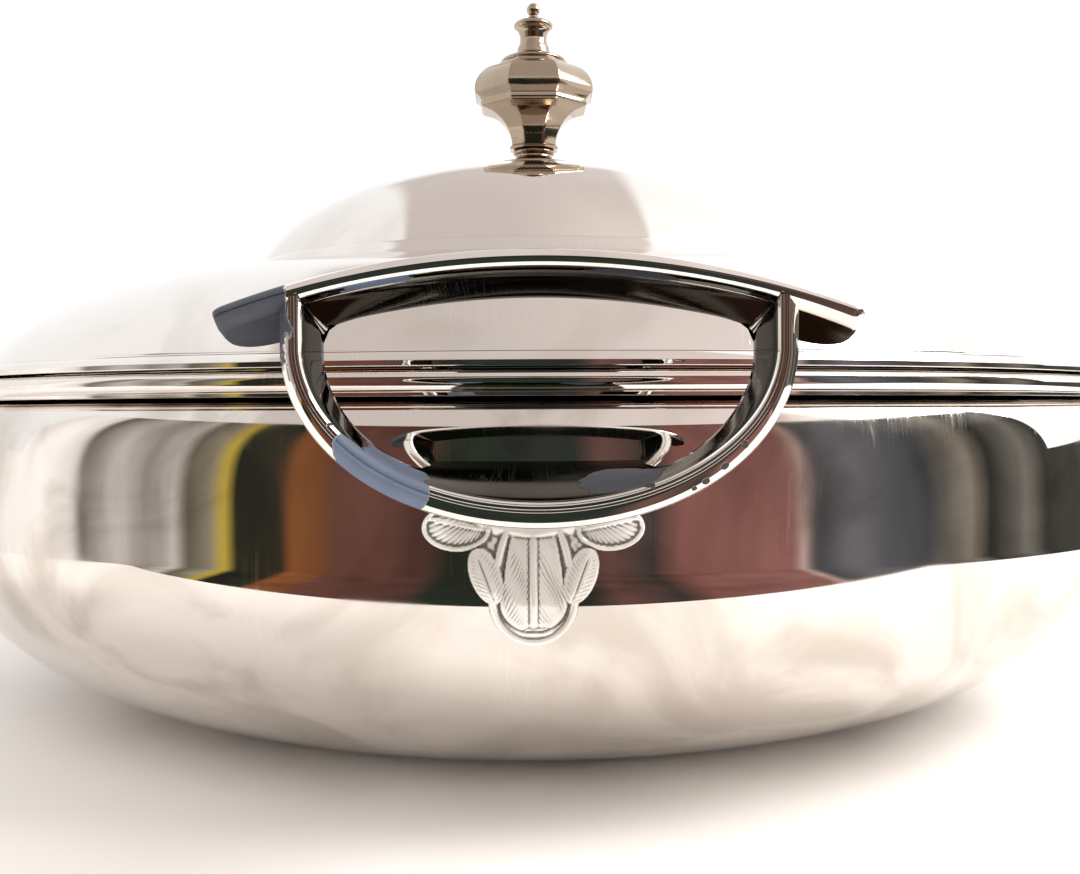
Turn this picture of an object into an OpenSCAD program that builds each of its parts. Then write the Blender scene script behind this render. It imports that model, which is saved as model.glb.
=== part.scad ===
// Round covered serving dish in plated sheet metal, with a stepped lift-off lid,
// an eight-sided finial and two opposed loop handles.
// Millimetres. +Z is up, the origin is the centre of the ring the dish rests on,
// and the two handles lie on the Y axis, with the front one towards -Y.

/* [Bowl] */
// Radius over the rim moulding, the driving size of the whole dish
rim_r = 127; // [100:1:155]
// Height of the rim's top face above the table
rim_z = 68.8; // [66:0.1:84]
// How far the barrel stands out past the rim moulding
belly_out = 1.5; // [0:0.1:3]
// Height of the widest part of the barrel
belly_z = 40; // [34:1:48]
// How far the shoulder draws in from the barrel to the neck
shoulder_in = 8; // [5:0.5:10]
// Outer radius of the flat ring the dish rests on
rest_r = 76; // [64:1:90]
// Sharpness of the turn where the side meets that ring
under_sink = 2.4; // [1:0.1:4]
// Width of that flat ring
rest_w = 4; // [2:0.5:8]
// Height the middle of the bottom is kicked up by
kick_h = 2; // [1:0.1:4]
// Thickness of the bowl's sheet metal
bowl_t = 1.4; // [0.8:0.1:2.2]

/* [Rim moulding] */
// Height of the half-round moulding round the bowl's mouth
bead_h = 3.8; // [2.5:0.1:5]

/* [Lid] */
// Clear height between the bowl's rim and the seated lid
seat_gap = 0.25; // [0.1:0.05:0.4]
// Height of the lower band of the lid's edge moulding
low_band_h = 1.05; // [0.8:0.05:1.6]
// Height of the upper band of the lid's edge moulding
high_band_h = 1.4; // [0.8:0.05:2]
// How far the upper band is set back from the lower one
band_step = 1.4; // [0.6:0.1:2.4]
// Thickness of the lid's sheet metal
lid_t = 1.2; // [0.8:0.1:2]
// Radius of the step between the shoulder and the dome
step_r = 66; // [50:1:80]
// Height of the shoulder's crown above the seated lid's lower face
shoulder_h = 24.9; // [18:0.1:32]
// Height of the small riser at the step
step_h = 2.6; // [1.5:0.1:4]
// Height of the dome above the top of the step
dome_h = 24.2; // [15:0.1:30]
// Depth the locating ring reaches into the bowl's mouth
bezel_depth = 4.6; // [3:0.1:8]
// Thickness of the locating ring
bezel_t = 1; // [0.7:0.1:1.6]
// Clearance between the locating ring and the bowl's mouth
bezel_gap = 0.4; // [0.2:0.05:0.8]

/* [Finial] */
// Radius of the spreading base
base_r = 12; // [9:0.5:15]
// Height of the spreading base with its bead
base_h = 5.4; // [4.5:0.1:9]
// Half the distance across flats at the widest part of the eight-sided vase
vase_r = 13.9; // [10:0.1:16]
// Height of the eight-sided vase
vase_h = 20.4; // [15:0.1:26]
// Radius of the round collar on the vase
collar_r = 7.7; // [6:0.1:9]
// Thickness of that collar
collar_h = 2; // [1.2:0.1:3]
// Height of the turned tip with its ball
tip_h = 12.6; // [9:0.1:16]
// Radius of the ball on the tip
ball_r = 1.6; // [1.2:0.1:2.4]
// Radius of the stud that holds the finial
stud_r = 2; // [1.5:0.1:3]
// Clearance of the stud in the lid's hole
stud_gap = 0.2; // [0.1:0.05:0.4]
// Depth the stud is screwed into the vase
stud_in = 8; // [5:0.5:12]
// Radius of the washer inside the lid
washer_r = 7; // [5:0.5:9]
// Thickness of that washer
washer_h = 0.8; // [0.5:0.1:1.5]
// Distance across the flats of the nut inside the lid
nut_af = 8; // [7:0.5:10]
// Height of that nut
nut_h = 3.2; // [2:0.1:5]

/* [Handles] */
// Distance the handle's front stands out from the rim moulding
handle_out = 36; // [26:1:46]
// Depth of the thumb bar and of the loop from front to back
strap_w = 16; // [12:0.5:20]
// Height of the thumb bar's top above the bowl's rim
bar_up = 12.3; // [8:0.1:18]
// Thickness of the thumb bar
bar_t = 2.6; // [1.6:0.1:3.5]
// Half the length of the thumb bar over its wings
wing_x = 36; // [31:0.5:44]
// Radius of the thumb bar's arch
arch_r = 106; // [80:1:140]
// Slope of the thumb bar down towards the bowl, in degrees
bar_tilt = 8; // [0:1:12]
// Radius of the rounded wing ends towards the bowl
wing_round = 12; // [4:0.5:13]
// Half the clear width of the loop
loop_x = 26.2; // [22:0.1:30]
// Height of the loop's curved part
loop_b = 17.5; // [14:0.1:20]
// Height of the lowest point inside the loop above the table
loop_z = 52.5; // [50:0.1:56]
// Thickness of the loop's strap
strap_t = 2.7; // [2:0.1:3.6]
// Rise of the loop's foot towards the bowl, in degrees
loop_tilt = 5; // [0:1:8]
// Half the width of the tongue that reaches back to the bowl
tongue_x = 14; // [8:0.5:18]
// Radius of the inside corners where the tongue leaves the loop
tongue_round = 5; // [2:0.5:8]

/* [Leaf mounts] */
// Thickness of the leaf mount
leaf_t = 1.3; // [0.8:0.1:2]
// Height of the leaf's tip above the table
leaf_z = 29.8; // [26:0.1:36]
// Half the width of the leaf mount over its outer leaves
leaf_x = 15.5; // [12:0.5:20]
// Half the width of its middle tongue
leaf_tongue_x = 6.6; // [5:0.1:9]

/* [Hidden] */
$fn = 96;
SMOOTH = 18; // points in a quarter of a curve

// Bowl
belly_r = rim_r + belly_out;
neck_r = belly_r - shoulder_in;
neck_z = rim_z - bead_h;
mouth_r = neck_r - bowl_t;
kick_run = 3 * kick_h;
bead_r = bead_h / 2;
// The side below the barrel is an ellipse that would reach under_sink below the table
under_b = belly_z + under_sink;
under_angle = asin(belly_z / under_b);
under_cr = (rest_r - belly_r * cos(under_angle)) / (1 - cos(under_angle));

// Lid
lid_z = rim_z + seat_gap;
band_z = lid_z + low_band_h;
skirt_z = band_z + high_band_h;
skirt_r = neck_r + 0.5;
shoulder_sink = 2; // the shoulder's ellipse is centred this far below the lid
shoulder_cr = 0.73 * step_r;
shoulder_b = shoulder_h + shoulder_sink;
shoulder_a = (skirt_r - shoulder_cr) / sqrt(1 - pow((skirt_z - lid_z + shoulder_sink) / shoulder_b, 2));
step_z = lid_z - shoulder_sink
    + shoulder_b * sqrt(1 - pow((step_r - shoulder_cr) / shoulder_a, 2));
dome_z = step_z + step_h; // foot of the dome
dome_foot_r = step_r - 2;
dome_sink = 0.28 * dome_h; // the dome's ellipse is centred this far below its foot
dome_b = dome_h + dome_sink;
dome_a = dome_foot_r / sqrt(1 - pow(dome_sink / dome_b, 2));
pad_r = base_r + 0.8; // small flat on the crown, under the finial
pad_z = dome_z - dome_sink + dome_b * sqrt(1 - pow(pad_r / dome_a, 2));
bezel_r = mouth_r - bezel_gap;
bezel_seat_h = 2.5; // height over which the locating ring is soldered to the lid

// Finial
vase_z = pad_z + base_h;
collar_z = vase_z + vase_h;
tip_z = collar_z + collar_h;
washer_z = pad_z - lid_t - washer_h;
nut_z = washer_z - nut_h;
stud_z0 = nut_z - 1.5;

// Handles
handle_y = rim_r + handle_out; // distance of the handle's front from the axis
bar_z = rim_z + bar_up;
loop_cz = loop_z + loop_b;
leaf_top = loop_z + 1;

// Stretch of an ellipse about (cr, cz), from angle a0 to a1
function curve(cr, cz, a, b, a0, a1, n = SMOOTH) =
    [for (i = [0:n]) let (t = a0 + (a1 - a0) * i / n) [cr + a * cos(t), cz + b * sin(t)]];
function turned_over(points) = [for (i = [len(points) - 1:-1:0]) points[i]];
function mirrored(points) = [for (p = points) [-p.x, p.y]];
// Angle on an ellipse of half-width a at which it is x from its centre
function angle_at(x, a) = acos(x / a);

// ---- Bowl ----

// Outside of the bowl from the neck down to the resting ring, grown by g
function bowl_side(g = 0) = concat(
    curve(neck_r, belly_z, shoulder_in + g, neck_z - belly_z + g, 90, 0),
    curve(under_cr, belly_z, belly_r - under_cr + g, under_b + g, 0, -under_angle));

// The bowl filled in up to its neck, grown by g
module bowl_solid(g = 0) {
    rotate_extrude()
        polygon(concat([[0, neck_z + g]], bowl_side(g), [[0, 0]]));
}

module bowl_shell() {
    inner_side = concat(
        curve(under_cr, belly_z, belly_r - under_cr - bowl_t, under_b - bowl_t,
              -asin((belly_z - bowl_t) / (under_b - bowl_t)), 0),
        curve(mouth_r, belly_z, shoulder_in, neck_z - belly_z - bowl_t, 4, 90));
    color("silver")
        rotate_extrude()
            polygon(concat(
                [[neck_r, rim_z]], bowl_side(),
                [[rest_r - rest_w, 0], [rest_r - rest_w - kick_run, kick_h], [0, kick_h],
                 [0, kick_h + bowl_t], [rest_r - rest_w - kick_run, kick_h + bowl_t],
                 [rest_r - rest_w, bowl_t]],
                inner_side, [[mouth_r, rim_z]]));
}

module rim_bead() {
    color("gainsboro")
        rotate_extrude()
            polygon(concat([[neck_r, neck_z]],
                curve(rim_r - bead_r, neck_z + bead_r, bead_r, bead_r, -90, 90),
                [[neck_r, rim_z]]));
}

// ---- Lid ----

// Outline of the lid's outside, moved in by the wall w, from the skirt to the crown
function lid_outline(w = 0) =
    let (
        a = shoulder_a - w,
        b = shoulder_b - w,
        d = dome_a - w,
        e = dome_b - w,
        from = asin((skirt_z - lid_z + shoulder_sink - w) / b),
        foot = angle_at(dome_foot_r - w, d),
        crown = asin((pad_z - w - dome_z + dome_sink) / e))
    concat(
        curve(shoulder_cr, lid_z - shoulder_sink, a, b, from, angle_at(step_r - shoulder_cr - w, a)),
        [[step_r - w, dome_z - 0.8 - w], [step_r - 0.6 - w, dome_z - 0.2 - w]],
        curve(0, dome_z - dome_sink, d, e, foot, crown));

module lid_shell() {
    color("silver")
        rotate_extrude()
            polygon(concat(
                [[skirt_r, lid_z]], lid_outline(), [[stud_r + stud_gap, pad_z]],
                [[stud_r + stud_gap, pad_z - lid_t]], turned_over(lid_outline(lid_t)),
                [[skirt_r - lid_t, lid_z]]));
}

module lid_border() {
    color("gainsboro")
        rotate_extrude()
            polygon(concat([[skirt_r, lid_z]],
                curve(rim_r - low_band_h / 2, lid_z + low_band_h / 2,
                      low_band_h / 2, low_band_h / 2, -90, 90, 8),
                [[rim_r - band_step - high_band_h / 2, band_z]],
                curve(rim_r - band_step - high_band_h / 2, band_z + high_band_h / 2,
                      high_band_h / 2, high_band_h / 2, -60, 90, 8),
                [[skirt_r, skirt_z]]));
}

module lid_bezel() {
    color("lightgray")
        rotate_extrude()
            polygon([[bezel_r - bezel_t, lid_z - bezel_depth], [bezel_r, lid_z - bezel_depth],
                     [bezel_r, lid_z], [skirt_r - lid_t, lid_z],
                     [skirt_r - lid_t, lid_z + bezel_seat_h - lid_t],
                     [bezel_r - bezel_t, lid_z + bezel_seat_h - lid_t]]);
}

// ---- Finial ----

module finial_base() {
    bead = 0.65;
    waist = 0.36 * base_r;
    color("gainsboro")
        translate([0, 0, pad_z])
            rotate_extrude()
                polygon(concat(
                    [[stud_r, 0], [base_r - 0.4, 0], [base_r, 0.4], [base_r, 1]],
                    curve(base_r, base_h - 2 * bead, base_r - waist, base_h - 2 * bead - 1.6, -90, -180),
                    curve(waist, base_h - bead, bead, bead, -90, 90, 8),
                    [[stud_r, base_h]]));
}

// Silhouette of the vase, right side only, from its foot up: a waist, a flare
// out to a grooved belt, and a rounded shoulder that closes in under the collar
function vase_side() = let (h = vase_h, r = vase_r) concat(
    [[0.40 * r, 0], [0.40 * r, 0.03 * h], [0.37 * r, 0.05 * h]],
    curve(r, 0.02 * h, 0.63 * r, 0.46 * h, 172, 118, 9),
    [[0.90 * r, 0.55 * h], [0.96 * r, 0.61 * h]],
    curve(0.45 * r, 0.66 * h, 0.55 * r, 0.32 * h, 0, 72, 9),
    [[0.56 * r, h]]);

module finial_vase() {
    color("silver")
        translate([0, 0, vase_z])
            difference() {
                intersection_for (turn = [0:45:135])
                    rotate([90, 0, turn])
                        linear_extrude(height = 4 * vase_r, center = true)
                            polygon(concat(vase_side(), turned_over(mirrored(vase_side()))));
                translate([0, 0, -1])
                    cylinder(r = stud_r, h = stud_in + 1);
            }
}

module finial_collar() {
    color("gainsboro")
        translate([0, 0, collar_z])
            rotate_extrude()
                polygon(concat([[0, 0]],
                    curve(collar_r - collar_h / 2, collar_h / 2, collar_h / 2, collar_h / 2, -90, 90, 10),
                    [[0, collar_h]]));
}

module finial_tip() {
    stem_h = tip_h - 2 * ball_r;
    color("silver")
        translate([0, 0, tip_z]) {
            rotate_extrude()
                polygon(concat(
                    [[0, 0], [0.48 * collar_r, 0], [0.44 * collar_r, 0.12 * stem_h]],
                    curve(0.46 * collar_r, 0.62 * stem_h, 0.19 * collar_r, 0.19 * stem_h, -40, 70, 8),
                    curve(0.52 * collar_r, stem_h, 0.38 * collar_r, 0.18 * stem_h, -100, -170, 6),
                    [[0.13 * collar_r, stem_h + 0.4 * ball_r], [0, stem_h + 0.4 * ball_r]]));
            translate([0, 0, tip_h - ball_r])
                sphere(r = ball_r);
        }
}

module finial_stud() {
    color("darkgray")
        translate([0, 0, stud_z0])
            cylinder(r = stud_r, h = vase_z + stud_in - stud_z0);
}

module finial_washer() {
    color("gray")
        translate([0, 0, washer_z])
            difference() {
                cylinder(r = washer_r, h = washer_h);
                translate([0, 0, -1])
                    cylinder(r = stud_r + stud_gap, h = washer_h + 2);
            }
}

module finial_nut() {
    color("darkgray")
        translate([0, 0, nut_z])
            difference() {
                cylinder(r = nut_af / 2 / cos(30), h = nut_h, $fn = 6);
                translate([0, 0, -1])
                    cylinder(r = stud_r, h = nut_h + 2);
            }
}

// ---- Handles, drawn for the front one ----

// Everything under the thumb bar's arch, of radius r, along the sloping bar
module under_arch(r) {
    translate([0, -handle_y, bar_z])
        rotate([-bar_tilt, 0, 0])
            translate([0, 0, -arch_r])
                rotate([-90, 0, 0])
                    translate([0, 0, -10])
                        cylinder(r = r, h = strap_w + 60, $fn = 180);
}

module handle_bar() {
    front_round = 1.5;
    color("silver")
        intersection() {
            difference() {
                under_arch(arch_r);
                under_arch(arch_r - bar_t);
            }
            translate([0, -handle_y, bar_z - arch_r / 2])
                linear_extrude(height = arch_r / 2 + 10)
                    polygon(concat(
                        curve(wing_x - front_round, front_round, front_round, front_round, -90, 0, 8),
                        curve(wing_x - wing_round, strap_w - wing_round, wing_round, wing_round, 0, 90, 10),
                        curve(wing_round - wing_x, strap_w - wing_round, wing_round, wing_round, 90, 180, 10),
                        curve(front_round - wing_x, front_round, front_round, front_round, 180, 270, 8)));
        }
}

// Side view of the loop, with posts that run up past the bar
module loop_outline() {
    difference() {
        polygon(concat([[loop_x + strap_t, bar_z]],
            curve(0, loop_cz, loop_x + strap_t, loop_b + strap_t, 0, -180, 2 * SMOOTH),
            [[-loop_x - strap_t, bar_z]]));
        polygon(concat([[loop_x, bar_z + 1]],
            curve(0, loop_cz, loop_x, loop_b, 0, -180, 2 * SMOOTH),
            [[-loop_x, bar_z + 1]]));
    }
}

// Plan of the loop with the tongue that reaches back to the bowl
module loop_plan() {
    reach = handle_y - belly_r + 12;
    half = loop_x + strap_t + 1;
    translate([-half, 0])
        square([2 * half, strap_w]);
    difference() {
        translate([-tongue_x - tongue_round, strap_w - 1])
            square([2 * (tongue_x + tongue_round), reach - strap_w + 1]);
        for (side = [-1, 1])
            translate([side * (tongue_x + tongue_round), strap_w + tongue_round]) {
                circle(r = tongue_round);
                translate([side > 0 ? -tongue_round : -1, 0])
                    square([tongue_round + 1, reach]);
            }
    }
}

module loop_solid() {
    intersection() {
        translate([0, -handle_y, loop_z])
            rotate([loop_tilt, 0, 0])
                translate([0, handle_out + 20, -loop_z])
                    rotate([90, 0, 0])
                        linear_extrude(height = handle_out + 30)
                            loop_outline();
        translate([0, -handle_y, 0])
            linear_extrude(height = bar_z + 5)
                loop_plan();
        under_arch(arch_r - bar_t);
    }
}

module handle_loop() {
    color("silver")
        difference() {
            loop_solid();
            bowl_solid();
        }
}

// Right edge of the leaf mount seen from the front, from its tip up: the middle
// tongue, a small side leaf, an outer leaf and the web under the loop
function leaf_edge() = let (length = leaf_top - leaf_z, tongue_z = leaf_z + 0.4 * length) concat(
    curve(0, tongue_z, leaf_tongue_x, tongue_z - leaf_z, -90, -24),
    curve(0.42 * leaf_x, leaf_z + 0.47 * length, 0.19 * leaf_x, 0.2 * length, -92, 30),
    curve(0.68 * leaf_x, leaf_z + 0.7 * length, 0.32 * leaf_x, 0.13 * length, -104, 84),
    [[0.62 * leaf_x, leaf_z + 0.84 * length], [0.62 * leaf_x, leaf_top]]);

module handle_leaf() {
    color("gainsboro")
        difference() {
            intersection() {
                bowl_solid(leaf_t);
                translate([0, -belly_r / 2, 0])
                    rotate([90, 0, 0])
                        linear_extrude(height = belly_r)
                            polygon(concat(leaf_edge(), turned_over(mirrored(leaf_edge()))));
            }
            bowl_solid();
            loop_solid();
        }
}

module to_back() {
    rotate([0, 0, 180])
        children();
}

bowl_shell();
rim_bead();
lid_shell();
lid_border();
lid_bezel();
finial_base();
finial_vase();
finial_collar();
finial_tip();
finial_stud();
finial_washer();
finial_nut();
handle_bar();  // front_handle_bar
handle_loop();  // front_handle_loop
handle_leaf();  // front_handle_leaf
to_back() handle_bar();  // back_handle_bar
to_back() handle_loop();  // back_handle_loop
to_back() handle_leaf();  // back_handle_leaf
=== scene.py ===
# %% [markdown]
# # A covered silver-plated serving dish
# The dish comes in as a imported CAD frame: eighteen plain, exact solids that fit, rest and lift.
# This script keeps their sizes and places and gives each one the surface of the real thing:
# turned shells with true curves, cast handles with moulded edges, chased leaves, and plating that
# has worn through in places. Lengths are in metres, +Z is up and the front handle points to -Y.

# %% Load the frame
import math

import bmesh
import bpy
from mathutils import Matrix, Vector


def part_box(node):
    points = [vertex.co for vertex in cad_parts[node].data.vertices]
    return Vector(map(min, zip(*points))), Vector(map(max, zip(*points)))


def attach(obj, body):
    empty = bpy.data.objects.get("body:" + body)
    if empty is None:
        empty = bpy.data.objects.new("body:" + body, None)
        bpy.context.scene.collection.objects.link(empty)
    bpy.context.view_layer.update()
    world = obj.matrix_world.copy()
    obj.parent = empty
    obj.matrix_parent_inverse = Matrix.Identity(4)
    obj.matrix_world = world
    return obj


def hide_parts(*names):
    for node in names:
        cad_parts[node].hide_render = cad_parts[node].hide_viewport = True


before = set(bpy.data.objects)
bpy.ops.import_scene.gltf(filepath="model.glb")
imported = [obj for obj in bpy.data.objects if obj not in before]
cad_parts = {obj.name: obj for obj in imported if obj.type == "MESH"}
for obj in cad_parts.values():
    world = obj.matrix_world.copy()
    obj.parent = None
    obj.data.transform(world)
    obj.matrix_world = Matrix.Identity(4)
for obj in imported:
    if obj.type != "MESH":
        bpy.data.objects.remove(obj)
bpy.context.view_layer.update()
MM = 0.001

# %% [markdown]
# ## Camera
# A person holds a camera about 17 cm from the rim, level with it, and looks along the line of the
# two handles. From so close the near handle looms and the dish runs out of the frame on both sides.
# The camera could be aimed at a target with a constraint, but three small angles say just as much and
# also hold its roll. Its place is measured from the middle of the dish's foot.

# %% Camera
def aimed(pitch, yaw, roll):
    """Turn of a camera that looks along +Y, tipped up by pitch, swung right by yaw, and rolled."""
    swing = Matrix.Rotation(-math.radians(yaw), 4, "Z")
    tip = Matrix.Rotation(math.radians(90 + pitch), 4, "X")
    return swing @ tip @ Matrix.Rotation(math.radians(roll), 4, "Z")


eye = Vector((-1.0, -300.5, 63.0)) * MM
lens = bpy.data.cameras.new("camera")
lens.sensor_fit = "HORIZONTAL"
lens.sensor_width = 36
lens.lens = 41.67
camera = bpy.data.objects.new("camera", lens)
camera.matrix_world = Matrix.Translation(eye) @ aimed(pitch=-1.28, yaw=0.41, roll=-0.25)
bpy.context.scene.collection.objects.link(camera)
bpy.context.scene.camera = camera
bpy.context.scene.view_settings.view_transform = "Standard"
print("camera in mm:", [round(v / MM, 1) for v in eye])

# %% [markdown]
# ## Short names for shader nodes
# Each finish is a tree of shader nodes. Trees can be drawn in the node editor, but written out they can
# be read, repeated and changed in one place. A few helpers keep them short: one adds any node and
# fills in its sockets, and the others add a sum, a soft fade, a mix of two colours and a noise. A
# socket takes a plain value or another node's output, so a finish reads from the inside out.

# %% Shader helpers
def add(tree, kind, inputs=None, **settings):
    """Adds a shader node, with settings on the node and values or links on its inputs."""
    made = tree.nodes.new("ShaderNode" + kind)
    for name, value in settings.items():
        setattr(made, name, value)
    for key, value in (inputs or {}).items():
        if isinstance(value, bpy.types.NodeSocket):
            tree.links.new(value, made.inputs[key])
        else:
            made.inputs[key].default_value = value
    return made


def calc(tree, operation, *values):
    """Output of a maths node."""
    return add(tree, "Math", dict(enumerate(values)), operation=operation).outputs[0]


def faded(tree, value, low, high, to_low=0.0, to_high=1.0):
    """value from low to high, eased into to_low to to_high and held there outside."""
    fade = add(tree, "MapRange", {"Value": value, "From Min": low, "From Max": high,
                                  "To Min": to_low, "To Max": to_high},
               interpolation_type="SMOOTHSTEP")
    return fade.outputs["Result"]


def mixed(tree, factor, first, second):
    """Mix of two colours."""
    mix = add(tree, "Mix", {"Factor": factor}, data_type="RGBA")
    for socket, value in zip([s for s in mix.inputs if s.type == "RGBA"], (first, second)):
        if isinstance(value, bpy.types.NodeSocket):
            tree.links.new(value, socket)
        else:
            socket.default_value = (*value, 1)
    return [s for s in mix.outputs if s.type == "RGBA"][0]


def noise(tree, where, scale, detail=3.0, distortion=0.0):
    """Soft noise from 0 to 1; its lumps are about 1/scale metres across."""
    made = add(tree, "TexNoise", {"Vector": where, "Scale": scale, "Detail": detail,
                                  "Distortion": distortion})
    return made.outputs["Fac"]


print("shader helpers:", [helper.__name__ for helper in (add, calc, faded, mixed, noise)])

# %% [markdown]
# ## Studio
# Polished silver has hardly a colour of its own: it shows the room. So the studio needs a pale table,
# a bright surround, and something dark in front, where the person with the camera stands. The table
# is one wide sheet with a faint mottle, so that its mirror image in the bowl isn't quite even. A
# ready-made plane would do, but a small helper that makes sheets is needed for the screen as well.

# %% Table
def sheet_mesh(name, columns):
    """Mesh of quads between columns of points."""
    count = len(columns[0])
    points = [p for column in columns for p in column]
    faces = []
    for i in range(len(columns) - 1):
        j = i + 1
        faces += [(i * count + k, j * count + k, j * count + k + 1, i * count + k + 1)
                  for k in range(count - 1)]
    mesh = bpy.data.meshes.new(name)
    mesh.from_pydata(points, [], faces)
    mesh.update()
    return mesh


def placed(name, mesh, material):
    """New object of that mesh and material."""
    made = bpy.data.objects.new(name, mesh)
    bpy.context.scene.collection.objects.link(made)
    made.data.materials.append(material)
    return made


def plain(name):
    """New material and its shader tree, with the standard surface in it."""
    material = bpy.data.materials.new(name)
    material.use_nodes = True
    return material, material.node_tree, material.node_tree.nodes["Principled BSDF"]


PAPER = (0.97, 0.955, 0.94)
PAPER_SHADE = (0.94, 0.92, 0.90)


def table_paper():
    """Matt off-white, very slightly mottled."""
    material, tree, surface = plain("table_paper")
    where = add(tree, "TexCoord").outputs["Object"]
    shade = mixed(tree, noise(tree, where, 9, 4), PAPER, PAPER_SHADE)
    tree.links.new(shade, surface.inputs["Base Color"])
    surface.inputs["Roughness"].default_value = 0.7
    surface.inputs["Specular IOR Level"].default_value = 0.2
    return material


table_half = 3.0
table_corners = [[(x, y, 0) for y in (-table_half, table_half)] for x in (-table_half, table_half)]
table = placed("table", sheet_mesh("table", table_corners), table_paper())
print("table in metres:", 2 * table_half)

# %% [markdown]
# ## Surround
# Walls and windows could be built, but for a mirror only the light that comes from each way counts.
# So the world's colour is worked out from the direction: white all round, a duller wall in front,
# more light from the right, and a grey soffit overhead, which the dome mirrors as a darker panel.

# %% Surround
OPEN_WALL = (1.0, 1.0, 1.0)
FRONT_WALL = (0.93, 0.87, 0.82)
SOFFIT = (0.66, 0.60, 0.57)
left_light = 1.08
right_light = 1.4


def surround():
    """Bright all round, with a duller front wall and a grey soffit overhead."""
    world = bpy.data.worlds.new("surround")
    world.use_nodes = True
    tree = world.node_tree
    tree.nodes.clear()
    way = add(tree, "SeparateXYZ", {0: add(tree, "TexCoord").outputs["Generated"]})
    height = way.outputs["Z"]
    front = calc(tree, "MULTIPLY", way.outputs["Y"], -1.0)
    aside = calc(tree, "ABSOLUTE", calc(tree, "ADD", way.outputs["X"], 0.04))
    aside = calc(tree, "MULTIPLY_ADD", front, -0.38, aside)
    wall = mixed(tree, faded(tree, front, -0.2, 0.7), OPEN_WALL, FRONT_WALL)
    soffit = calc(tree, "MULTIPLY", faded(tree, aside, 0.515, 0.465), faded(tree, height, 0.40, 0.52))
    lit = faded(tree, way.outputs["X"], -0.2, 0.5, left_light, right_light)
    room = mixed(tree, soffit, wall, SOFFIT)
    glow = add(tree, "Background", {"Color": room, "Strength": lit})
    tree.links.new(glow.outputs[0], add(tree, "OutputWorld").inputs["Surface"])
    return world


bpy.context.scene.world = surround()
print("light from the left and the right:", left_light, right_light)

# %% [markdown]
# ## Tones of the room in front
# The barrel mirrors the dim room as soft upright bands. Furniture could be built, and would cost much
# time for a blur. A glow whose tone changes along a colour ramp is enough. Each stop is a place along
# the screen from left to right, from 0 to 1, and the tone there.

# %% Room tones
ROOM_TONES = [
    (0.00, (1.15, 1.10, 1.07)), (0.17, (1.05, 1.0, 0.97)), (0.178, (0.16, 0.14, 0.12)),
    (0.213, (0.62, 0.58, 0.55)), (0.24, (0.36, 0.33, 0.30)), (0.262, (0.66, 0.62, 0.58)),
    (0.272, (0.16, 0.14, 0.11)), (0.29, (0.34, 0.30, 0.22)), (0.298, (0.52, 0.39, 0.07)),
    (0.302, (0.52, 0.39, 0.07)), (0.307, (0.02, 0.02, 0.015)), (0.34, (0.03, 0.03, 0.02)),
    (0.346, (0.27, 0.10, 0.035)), (0.368, (0.19, 0.075, 0.03)), (0.373, (0.14, 0.06, 0.045)),
    (0.43, (0.11, 0.05, 0.042)), (0.445, (0.026, 0.034, 0.024)), (0.525, (0.030, 0.040, 0.032)),
    (0.54, (0.17, 0.085, 0.075)), (0.57, (0.06, 0.05, 0.045)), (0.587, (0.26, 0.115, 0.10)),
    (0.662, (0.30, 0.14, 0.125)), (0.668, (0.62, 0.46, 0.42)), (0.674, (0.05, 0.055, 0.06)),
    (0.70, (0.15, 0.15, 0.17)), (0.76, (0.06, 0.065, 0.07)), (0.80, (0.26, 0.23, 0.19)),
    (0.82, (0.04, 0.04, 0.035)), (0.86, (0.18, 0.17, 0.15)), (0.885, (0.05, 0.05, 0.045)),
    (0.96, (0.08, 0.078, 0.07)), (0.985, (0.5, 0.48, 0.45))]
ramp_turn = 3.9


def room_tones():
    """Upright bands of the tones of a furnished room, softly out of focus."""
    material, tree, surface = plain("room_tones")
    tree.nodes.remove(surface)
    where = add(tree, "TexCoord").outputs["Object"]
    place = add(tree, "SeparateXYZ", {0: where})
    turn = calc(tree, "ARCTAN2", place.outputs["X"], calc(tree, "MULTIPLY", place.outputs["Y"], -1.0))
    share = calc(tree, "MULTIPLY_ADD", turn, 1 / ramp_turn, 0.5)
    ramp = add(tree, "ValToRGB", {0: share})
    stops = ramp.color_ramp.elements
    while len(stops) < len(ROOM_TONES):
        stops.new(0.5)
    for stop, (at, tone) in zip(stops, ROOM_TONES):
        stop.position = at
        stop.color = (*tone, 1)
    upright = add(tree, "Mapping", {"Vector": where, "Scale": (1, 1, 0.2)})
    patchy = calc(tree, "MULTIPLY_ADD", noise(tree, upright.outputs[0], 22, 5), 1.2, 0.45)
    shade = calc(tree, "MULTIPLY", patchy, faded(tree, place.outputs["Z"], 0.33, 0.05, 0.8, 1.0))
    glow = add(tree, "Emission", {"Color": ramp.outputs["Color"], "Strength": shade})
    tree.links.new(glow.outputs[0], tree.nodes["Material Output"].inputs["Surface"])
    return material


screen_tones = room_tones()
print("tones on the screen:", len(ROOM_TONES))

# %% [markdown]
# ## Dark screen
# The screen is a bent sheet. It lies just above the table, from where the table should seem to end,
# and then stands up round the front. Only reflections see it. A real table edge would need the whole
# room behind it. A studio's dark card works in the same way: it keeps a barrel from washing out.

# %% Dark screen
screen_r = 400 * MM
screen_h = 275 * MM
screen_low = 90 * MM
screen_reach = (-112, 140)
screen_step = 4
tall_within = 85
table_front = 186 * MM
table_left = 0.98 * screen_r
table_right = 330 * MM
off_table = Vector((0, 0, MM))

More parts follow.
